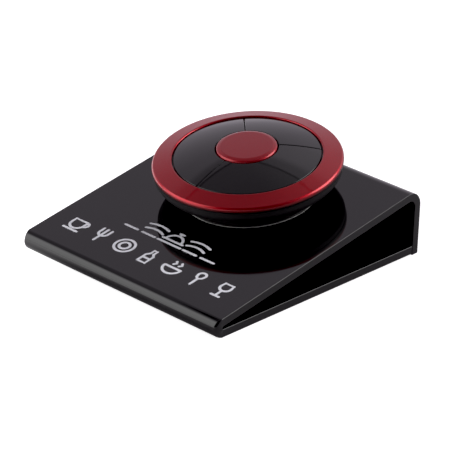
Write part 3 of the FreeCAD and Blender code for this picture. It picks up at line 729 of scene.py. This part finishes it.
def makeStandSheet():
    tree, given, result = newShapeTree("bent_sheet", standSizes)
    corners = [given[label] for label in ("Base End", "Front Fold", "Rear Bend", "Wall End")]
    path = cornerCurve(tree, corners, given["Bend Steps"], (("Y", 1.0), ("Z", 1.0)))
    section = addNode(tree, "GeometryNodeCurvePrimitiveQuadrilateral", Width=given["Sheet Width"],
                      Height=given["Sheet Thickness"]).outputs[0]
    softened = addNode(tree, "GeometryNodeFilletCurve", {"mode": "POLY"}, Curve=section,
                       Count=given["Edge Steps"], Radius=given["Edge Round"]).outputs[0]
    sheet = addNode(tree, "GeometryNodeCurveToMesh", Curve=path, Profile_Curve=softened,
                    Fill_Caps=True).outputs[0]
    fold = [given[label] for label in ("Fold Axis", "Fold Outward", "Fold Reach")]
    rear = [given[label] for label in ("Rear Axis", "Rear Outward", "Rear Reach")]
    sheet = roundOver(tree, sheet, *fold, stand["foldMidRadius"], given["Sheet Width"],
                      given["Edge Round"], given["Fold Edge Growth"], stand["foldRoundSpan"])
    sheet = pullIn(tree, sheet, *fold, stand["foldMidRadius"], given["Fold Pull"],
                   stand["foldPullSpan"])
    sheet = pullIn(tree, sheet, *rear, stand["bendMidRadius"], given["Rear Pull"],
                   stand["bendPullSpan"])
    endShapeTree(tree, sheet, given, result)
    piece = growShape("bent_sheet", tree, standSizes, blackAcrylic)
    closeSeams(piece)
    polish(piece)
    seat(piece, "stand", "black_acrylic", "stand_sheet")


makeStandSheet()
print("stand sheet made")


# The red ring: one section turned about the button's axis, as (radius, height, round).
ringSizes = {
    "Lip": (25.95 * mm, 12.6 * mm, 0.0),
    "Crest": (25.95 * mm, 14.90 * mm, 0.5 * mm),
    "Crease": (32.4 * mm, 13.2 * mm, 0.1 * mm),
    "Shoulder": (33.0 * mm, 12.78 * mm, 1.3 * mm),
    "Belly": (33.0 * mm, 11.6 * mm, 0.8 * mm),
    "Foot": (32.7 * mm, 10.9 * mm, 0.0),
    "Spigot Seat": (30.85 * mm, 10.9 * mm, 0.0),
    "Spigot Tip": (30.85 * mm, 10.2 * mm, 0.1 * mm),
    "Spigot Back": (30.05 * mm, 10.2 * mm, 0.1 * mm),
    "Frame Seat": (30.05 * mm, 10.9 * mm, 0.0),
    "Rib Foot": (27.2 * mm, 10.9 * mm, 0.0),
    "Rib Top": (27.2 * mm, 12.6 * mm, 0.0),
    "Round Steps": 8,
    "Turn Steps": 256,
}
turningRadius = 10.0 * mm  # of the circle that carries a section; it sets no size


def turnSection(name, sizes, finish, slot, nodeName):
    # Turns a closed section of named corners round the button's axis.
    tree, given, result = newShapeTree(name + "_section", sizes)
    corners = [given[label] for label, value in sizes.items() if isinstance(value, tuple)]
    section = cornerCurve(tree, corners, given["Round Steps"], (("X", 1.0), ("Y", -1.0)),
                          True, turningRadius)
    circle = addNode(tree, "GeometryNodeCurvePrimitiveCircle", Resolution=given["Turn Steps"],
                     Radius=turningRadius).outputs[0]
    shape = addNode(tree, "GeometryNodeCurveToMesh", Curve=circle,
                    Profile_Curve=section).outputs[0]
    endShapeTree(tree, shape, given, result)
    piece = growShape(name, tree, sizes, finish, buttonPlace)
    closeSeams(piece)
    polish(piece)
    seat(piece, "stand", slot, nodeName)


turnSection("red_ring", ringSizes, redLacquer, "red_metallic", "ring_bezel")

# The ring of foam tape under the button, squeezed out to a round edge.
tapeInside, tapeOutside, tapeRound = 14.5 * mm, 24.0 * mm, 0.11 * mm
tapeSizes = {
    "Top Inside": (tapeInside, tapeThickness, 0.0),
    "Top Outside": (tapeOutside, tapeThickness, tapeRound),
    "Foot Outside": (tapeOutside, 0.0, tapeRound),
    "Foot Inside": (tapeInside, 0.0, 0.0),
    "Round Steps": 4,
    "Turn Steps": 192,
}
turnSection("squeezed_tape", tapeSizes, foamTape, "foam", "adhesive_pad")
print("ring made")


# Print on the plate: two rows of plain signs drawn with one pen.
printed = {
    "pen": 1.0 * mm,
    "height": 0.03 * mm,
    "turnSteps": 10,
    "arcStep": math.radians(12),
    "ballRings": 6,
    "size": 1.12 * mm,
    "upperRow": {"reach": 25.4 * mm, "signs": (
        ("line", -17.5), ("ringing", -9.5), ("bell", 0.0), ("ringing", 9.5), ("line", 17.5))},
    "lowerRow": {"reach": 12.3 * mm, "signs": (
        ("cup", -33.6), ("fork", -22.4), ("plate", -11.2), ("bottle", 0.0), ("bowl", 11.2),
        ("spoon", 22.4), ("glass", 33.6))},
}
# Each sign is a set of strokes: corner points, or ("arc", x, y, radius, from, to).
signs = {
    "line": (((-2.6, -2.9), (2.6, -2.9)),),
    "bell": (
        ("arc", 0.0, -1.2, 3.1, 0, 180), ((-4.0, -1.2), (4.0, -1.2)), ((-4.6, -2.9), (4.6, -2.9)),
        ((0.0, 1.9), (0.0, 2.9)), ((-0.8, 3.1), (0.8, 3.1))),
    "ringing": (
        ("arc", 0.0, -6.5, 7.0, 60, 120), ("arc", 0.0, -6.5, 9.4, 66, 114),
        ((-2.6, -2.9), (2.6, -2.9))),
    "cup": (
        ((2.3, 2.2), (-2.7, 2.2), (-2.7, 0.2)), ("arc", -0.2, 0.2, 2.5, 180, 360),
        ((2.3, 0.2), (2.3, 2.2)), ("arc", 2.3, 0.9, 1.2, -75, 75), ((-3.0, -3.3), (2.6, -3.3))),
    "fork": (
        ((0.0, 3.3), (0.0, -3.3)), ("arc", 0.0, 1.3, 1.7, 180, 360),
        ((-1.7, 1.3), (-1.7, 3.3)), ((1.7, 1.3), (1.7, 3.3))),
    "plate": (("arc", 0.0, 0.0, 3.3, 0, 360), ("arc", 0.0, 0.0, 1.7, 0, 360)),
    "bottle": (
        ((-1.5, -3.3), (1.5, -3.3), (1.5, 0.5), (0.6, 1.6), (0.6, 3.3), (-0.6, 3.3),
         (-0.6, 1.6), (-1.5, 0.5), (-1.5, -3.3)),
        ((-1.5, -1.0), (1.5, -1.0))),
    "bowl": (
        ("arc", 0.0, 0.0, 3.2, 180, 360), ((-3.2, 0.0), (3.2, 0.0)),
        ((-1.1, 1.5), (-0.5, 2.2), (-1.1, 3.1)), ((1.1, 1.5), (1.7, 2.2), (1.1, 3.1))),
    "spoon": (
        ("arc", 0.0, 2.0, 1.35, 0, 180),
        ((1.35, 2.0), (1.0, 0.8), (0.0, 0.0), (-1.0, 0.8), (-1.35, 2.0)),
        ((0.0, 0.0), (0.0, -3.3))),
    "glass": (
        ("arc", 0.0, 1.6, 1.9, 180, 360), ((-1.9, 1.6), (-1.6, 3.3), (1.6, 3.3), (1.9, 1.6)),
        ((0.0, -0.3), (0.0, -3.2)), ((-1.5, -3.3), (1.5, -3.3))),
}


def strokePoints(stroke):
    if stroke[0] != "arc":
        return stroke
    x, y, radius, first, last = stroke[1:]
    first, last = math.radians(first), math.radians(last)
    steps = max(2, round((last - first) / printed["arcStep"]))
    return [(x + radius * math.cos(turn), y + radius * math.sin(turn))
            for turn in (first + (last - first) * step / steps for step in range(steps + 1))]


def printStrokes():
    # All strokes of both rows as points and edges in the plate's plane.
    points, edges = [], []
    for row in (printed["upperRow"], printed["lowerRow"]):
        for label, middle in row["signs"]:
            for stroke in signs[label]:
                start = len(points)
                points += [(middle * mm + x * printed["size"],
                            row["reach"] + y * printed["size"], 0.0)
                           for x, y in strokePoints(stroke)]
                edges += [(spot, spot + 1) for spot in range(start, len(points) - 1)]
    return points, edges


def makePrint():
    # A round pen follows the strokes and its line is pressed flat.
    sizes = {"Pen Width": printed["pen"], "Flatness": printed["height"] / printed["pen"],
             "Pen Steps": printed["turnSteps"], "Ball Rings": printed["ballRings"]}
    tree, given, result = newShapeTree("pen_lines", sizes, drawn=True)
    radius = calc(tree, "MULTIPLY", given["Pen Width"], 0.5)
    line = addNode(tree, "GeometryNodeMeshToCurve", Mesh=given["Strokes"]).outputs[0]
    tip = addNode(tree, "GeometryNodeCurvePrimitiveCircle", Resolution=given["Pen Steps"],
                  Radius=radius).outputs[0]
    tube = addNode(tree, "GeometryNodeCurveToMesh", Curve=line, Profile_Curve=tip,
                   Fill_Caps=True).outputs[0]
    ball = addNode(tree, "GeometryNodeMeshUVSphere", Segments=given["Pen Steps"],
                   Rings=given["Ball Rings"], Radius=radius).outputs[0]
    balls = addNode(tree, "GeometryNodeInstanceOnPoints", Points=given["Strokes"],
                    Instance=ball).outputs[0]
    joined = addNode(tree, "GeometryNodeJoinGeometry")
    tree.links.new(tube, joined.inputs[0])
    tree.links.new(balls, joined.inputs[0])
    scale = addNode(tree, "ShaderNodeCombineXYZ", X=1.0, Y=1.0, Z=given["Flatness"]).outputs[0]
    real = addNode(tree, "GeometryNodeRealizeInstances", Geometry=joined.outputs[0]).outputs[0]
    flat = addNode(tree, "GeometryNodeTransform", Geometry=real, Scale=scale).outputs[0]
    endShapeTree(tree, flat, given, result)
    outer = stand["foldMidRadius"] + stand["thickness"] / 2
    plateStart = alongLine(foldAxis, slopeAngle + math.pi / 2, outer)
    place = Matrix.Translation((0.0, *plateStart)) @ Matrix.Rotation(slopeAngle, 4, "X")
    piece = growShape("plate_print", tree, sizes, printInk, place, printStrokes())
    polish(piece, sharpAngle=60.0)
    print("print faces:", len(piece.data.polygons))
    seat(piece, "stand", "white_plastic")


makePrint()
print("print made")


# Keys and housing: moulded parts, smoothed. Their rounds are in mm about the button's axis,
# as (radius, height, round).
keyRounds = ((0.0, -66.7, 85.0),)
discShape = {
    "top": 18.54,
    "crownRadius": 300.0,
    "rim": 10.57,
    "bevel": 1.57,
    "drop": 0.45,
    "blend": 2.0,
    "edge": 1.0,
    "step": 0.2,  # from the shoulder inwards, to where the crown's slope is taken
}
bowlShape = {
    "foot": (23.9, 0.75, 0.4),
    "neck": (23.2, 0.75, 4.85),
    "bowl": (30.665, 4.85, 7.0),
    "side": (32.6, 9.0, 0.25),
    "rim": (32.6, 10.9, 0.0),
}


def roundCentre(before, corner, after, radius):
    # Centre and radius of the round that replaces a corner of a section.
    at = Vector(corner)
    back, ahead = (Vector(before) - at).normalized(), (Vector(after) - at).normalized()
    half = back.angle(ahead) / 2
    middle = at + (back + ahead).normalized() * (radius / math.sin(half))
    return middle.x, middle.y, radius


def discRounds():
    # The nearly flat crown, the blend into the bevel and the rounded rim.
    shape = discShape
    crownFoot = shape["top"] - shape["crownRadius"]
    bevelStart = shape["rim"] - shape["bevel"]
    inner, shoulder = ((reach, crownFoot + math.sqrt(shape["crownRadius"] ** 2 - reach ** 2))
                       for reach in (bevelStart - shape["step"], bevelStart))
    rim = (shape["rim"], shoulder[1] - shape["drop"])
    return ((0.0, crownFoot, shape["crownRadius"]),
            roundCentre(inner, shoulder, rim, shape["blend"]),
            roundCentre(shoulder, rim, (shape["rim"], 0.0), shape["edge"]))


def bowlRounds():
    # The foot's upper edge, the bowl's corner and the band's lower edge.
    foot, neck, bowl, side, rim = bowlShape.values()
    return (roundCentre((foot[0], 0.0), foot[:2], neck[:2], foot[2]),
            roundCentre((neck[0], bowl[1]), bowl[:2], side[:2], bowl[2]),
            roundCentre(bowl[:2], side[:2], rim[:2], side[2]))


def turnedNormals(piece, rounds, tolerance=0.004, edgeAngle=14.0, axisGap=0.01):
    # Points that lie on one of the rounds take its exact normal, but not those so near
    # the axis that they have no direction.
    home = buttonPlace.inverted()
    mesh = piece.data
    normals = [corner.vector.copy() for corner in mesh.corner_normals]
    limit = math.cos(math.radians(edgeAngle))
    spots = [home @ vertex.co / mm for vertex in mesh.vertices]
    for face in mesh.polygons:
        for corner in face.loop_indices:
            spot = spots[mesh.loops[corner].vertex_index]
            reach = math.hypot(spot.x, spot.y)
            for acrossAt, heightAt, radius in rounds:
                across, up = reach - acrossAt, spot.z - heightAt
                if abs(math.hypot(across, up) - radius) > tolerance or reach < axisGap:
                    continue
                exact = Vector((spot.x / reach * across, spot.y / reach * across, up)).normalized()
                exact = buttonPlace.to_3x3() @ exact
                if face.normal.dot(exact) > limit:
                    normals[corner] = exact
                    break
    mesh.normals_split_custom_set(normals)


for side in ("back", "left", "right"):
    key = polishedCopy(side + "_key_cap", side + "_key", glossKeys)
    turnedNormals(key, keyRounds)
    seat(key, side + "_button", "black_gloss", side + "_key")
disc = polishedCopy("centre_disc", "centre_key", redCap)
turnedNormals(disc, discRounds())
seat(disc, "centre_button", "red_gloss", "centre_key")
bowl = polishedCopy("housing_bowl", "lower_housing", mattHousing)
turnedNormals(bowl, bowlRounds(), tolerance=0.006, edgeAngle=20.0)
seat(bowl, "stand", "black_gloss", "lower_housing")
print("keys and housing made")


# The floor and the tent of light round the object.
studio = {
    "floorSize": 4.0,
    "floorEven": {"IOR": 1.3, "Roughness": 0.7},
    # The floor's colour runs from the first tone at the front left to the second at the right and
    # back: painted light and shade.
    "floorTones": ((0.80, 0.77, 0.80), (0.475, 0.454, 0.475)),
    "floorTurn": (0.75, 0.66, 0.0),
    "floorSpan": (-0.07, 0.03),
    "floorDrift": 0.96,
    "floorPatch": 0.2,
    # a patch of floor at the front left that glows for every ray: painted light that lights the
    # object and shows in its reflections
    "floorGlowPatch": {"towards": (-0.60, -0.79, 0.0), "level": 1.5, "from": 0.050, "full": 0.090},
    "floorGlow": 0.85,
    "skyTint": (1.0, 0.915, 1.03),
    "skyLevels": ((0.0, 0.88), (0.13, 0.86), (0.22, 0.69), (0.45, 0.61), (0.63, 0.555),
                  (0.75, 0.62), (1.0, 0.62)),  # height of the direction, level
    "horizon": 0.001,  # lowest height of a direction that the panel is worked out for
    "panelEdge": (-0.742, 0.51),
    "panelLevel": 0.27,
    "panelSeam": 0.014,
    "seamCore": 0.6,
    "seamLevel": 0.02,
    "stripLevel": 0.38,
    "stripWidth": (0.11, 0.21),
    "stripHeight": (0.25, 0.45),
    "openFront": {"towards": (0.35, -0.93, 0.10), "level": 0.03, "from": 0.15, "full": 0.60},
    "backGlow": {"towards": (0.0, 0.70, 0.71), "level": 0.20, "from": 0.80, "full": 1.0},
    "leftGlow": {"towards": (-0.58, -0.71, 0.40), "level": 2.6, "from": 0.80, "full": 0.985},
    "rightGlow": {"towards": (0.56, 0.655, 0.51), "level": 4.8, "from": 0.898, "full": 0.965},
    "blackLevel": 0.004,
}
# The camera: focal length and sensor in mm, places in metres, roll in degrees.
lens = {
    "focal": 209.9,
    "sensor": 36.0,
    "distance": 0.898,
    "target": (0.5 * mm, 0.3 * mm, 10.0 * mm),
    "towards": (0.6004, -0.6849, 0.4129),
    "roll": 3.70,
}


def makeFloor():
    # A pale table whose colour is lighter at the front left and darker to the right and back:
    # painted light and shade on the floor, seen in the object's reflections. A patch at the front
    # left glows for every ray, painted light that shines on the object like a lamp laid flat, and
    # the whole floor also glows, for the camera only.
    half = studio["floorSize"] / 2
    mesh = bpy.data.meshes.new("floor")
    corners = [(-half, -half, 0), (half, -half, 0), (half, half, 0), (-half, half, 0)]
    mesh.from_pydata(corners, [], [(0, 1, 2, 3)])
    material, tree, shader = startMaterial("pale_floor", studio["floorEven"])
    place = onSurface(tree)
    # painted light and shade: lighter at the front left, darker to the right and back
    away = vectorMath(tree, "DOT_PRODUCT", place, studio["floorTurn"])["Value"]
    near, far = (
        placeGroup(tree, tintDrift, tones(tone, [part * studio["floorDrift"] for part in tone],
                                          studio["floorPatch"]))["Color"]
        for tone in studio["floorTones"])
    colour = mixed(tree, rising(tree, away, *studio["floorSpan"]), near, far)
    tree.links.new(colour, shader.inputs["Base Color"])
    seen = addNode(tree, "ShaderNodeLightPath").outputs["Is Camera Ray"]
    shader.inputs["Emission Color"].default_value = (1.0, 1.0, 1.0, 1.0)
    # The patch glows for every ray, painted light like a lamp laid on the table, and the whole
    # floor glows for the camera.
    glowPatch = studio["floorGlowPatch"]
    forward = vectorMath(tree, "DOT_PRODUCT", place, glowPatch["towards"])["Value"]
    onGlowPatch = rising(tree, forward, glowPatch["from"], glowPatch["full"], soft=True)
    shine = calc(tree, "MULTIPLY", onGlowPatch, glowPatch["level"])
    shine = calc(tree, "MULTIPLY_ADD", seen, studio["floorGlow"], shine)
    tree.links.new(shine, shader.inputs["Emission Strength"])
    mesh.materials.append(material)
    floor = bpy.data.objects.new("floor", mesh)
    bpy.context.scene.collection.objects.link(floor)


def glow(tree, direction, spot):
    # How far a direction lies inside a soft round patch of the sky, from 0 to 1.
    towards = Vector(spot["towards"]).normalized()
    facing = vectorMath(tree, "DOT_PRODUCT", direction, towards)["Value"]
    return rising(tree, facing, spot["from"], spot["full"], soft=True)


def tinted(level):
    return (*(level * tint for tint in studio["skyTint"]), 1.0)


def makeSky():
    # A tent of grey cloth, open at the front, with a darker square panel overhead that a
    # thin dark seam and a darker strip border, and lamps behind the cloth.
    world = bpy.data.worlds.new("tent")
    bpy.context.scene.world = world
    world.use_nodes = True
    tree = world.node_tree
    direction = addNode(tree, "ShaderNodeTexCoord").outputs["Generated"]
    split = addNode(tree, "ShaderNodeSeparateXYZ", Vector=direction).outputs
    cloth = addNode(tree, "ShaderNodeValToRGB", Fac=split["Z"])
    stops = cloth.color_ramp.elements
    stops.remove(stops[1])
    for place, level in studio["skyLevels"]:
        stop = stops.new(place) if place else stops[0]
        stop.color = tinted(level)
    edge, seam, width = studio["panelEdge"], studio["panelSeam"], studio["stripWidth"]
    upwards = calc(tree, "MAXIMUM", split["Z"], studio["horizon"])
    aside = calc(tree, "SUBTRACT", calc(tree, "DIVIDE", split["X"], upwards), edge[0])
    behind = calc(tree, "SUBTRACT", edge[1], calc(tree, "DIVIDE", split["Y"], upwards))
    inward = calc(tree, "MINIMUM", aside, behind)
    onPanel = rising(tree, inward, -seam / 2, seam / 2)
    onSeam = rising(tree, calc(tree, "ABSOLUTE", inward), seam, seam * studio["seamCore"])
    onStrip = calc(tree, "MULTIPLY", rising(tree, inward, -width[1], -width[0]),
                   rising(tree, split["Z"], *studio["stripHeight"]))
    front = studio["openFront"]
    light = cloth.outputs["Color"]
    for share, level in ((onStrip, studio["stripLevel"]), (onPanel, studio["panelLevel"]),
                         (onSeam, studio["seamLevel"]),
                         (glow(tree, direction, front), front["level"])):
        light = mixed(tree, share, light, tinted(level))
    for lamp in (studio["backGlow"], studio["leftGlow"], studio["rightGlow"]):
        level = calc(tree, "MULTIPLY", glow(tree, direction, lamp), lamp["level"])
        light = vectorMath(tree, "ADD", light, level)[0]
    tree.links.new(light, tree.nodes["Background"].inputs["Color"])


def makeCamera():
    data = bpy.data.cameras.new("camera")
    data.lens = lens["focal"]
    data.sensor_width = lens["sensor"]
    camera = bpy.data.objects.new("camera", data)
    bpy.context.scene.collection.objects.link(camera)
    towards = Vector(lens["towards"]).normalized()
    camera.location = Vector(lens["target"]) + towards * lens["distance"]
    aim = towards.to_track_quat("Z", "Y").to_matrix().to_4x4()
    roll = Matrix.Rotation(math.radians(lens["roll"]), 4, "Z")
    camera.rotation_euler = (aim @ roll).to_euler()
    bpy.context.scene.camera = camera


view = bpy.context.scene.view_settings
view.view_transform = "Standard"
view.use_curve_mapping = True
view.curve_mapping.black_level = (studio["blackLevel"],) * 3
view.curve_mapping.update()
makeFloor()
makeSky()
makeCamera()
print("studio set")
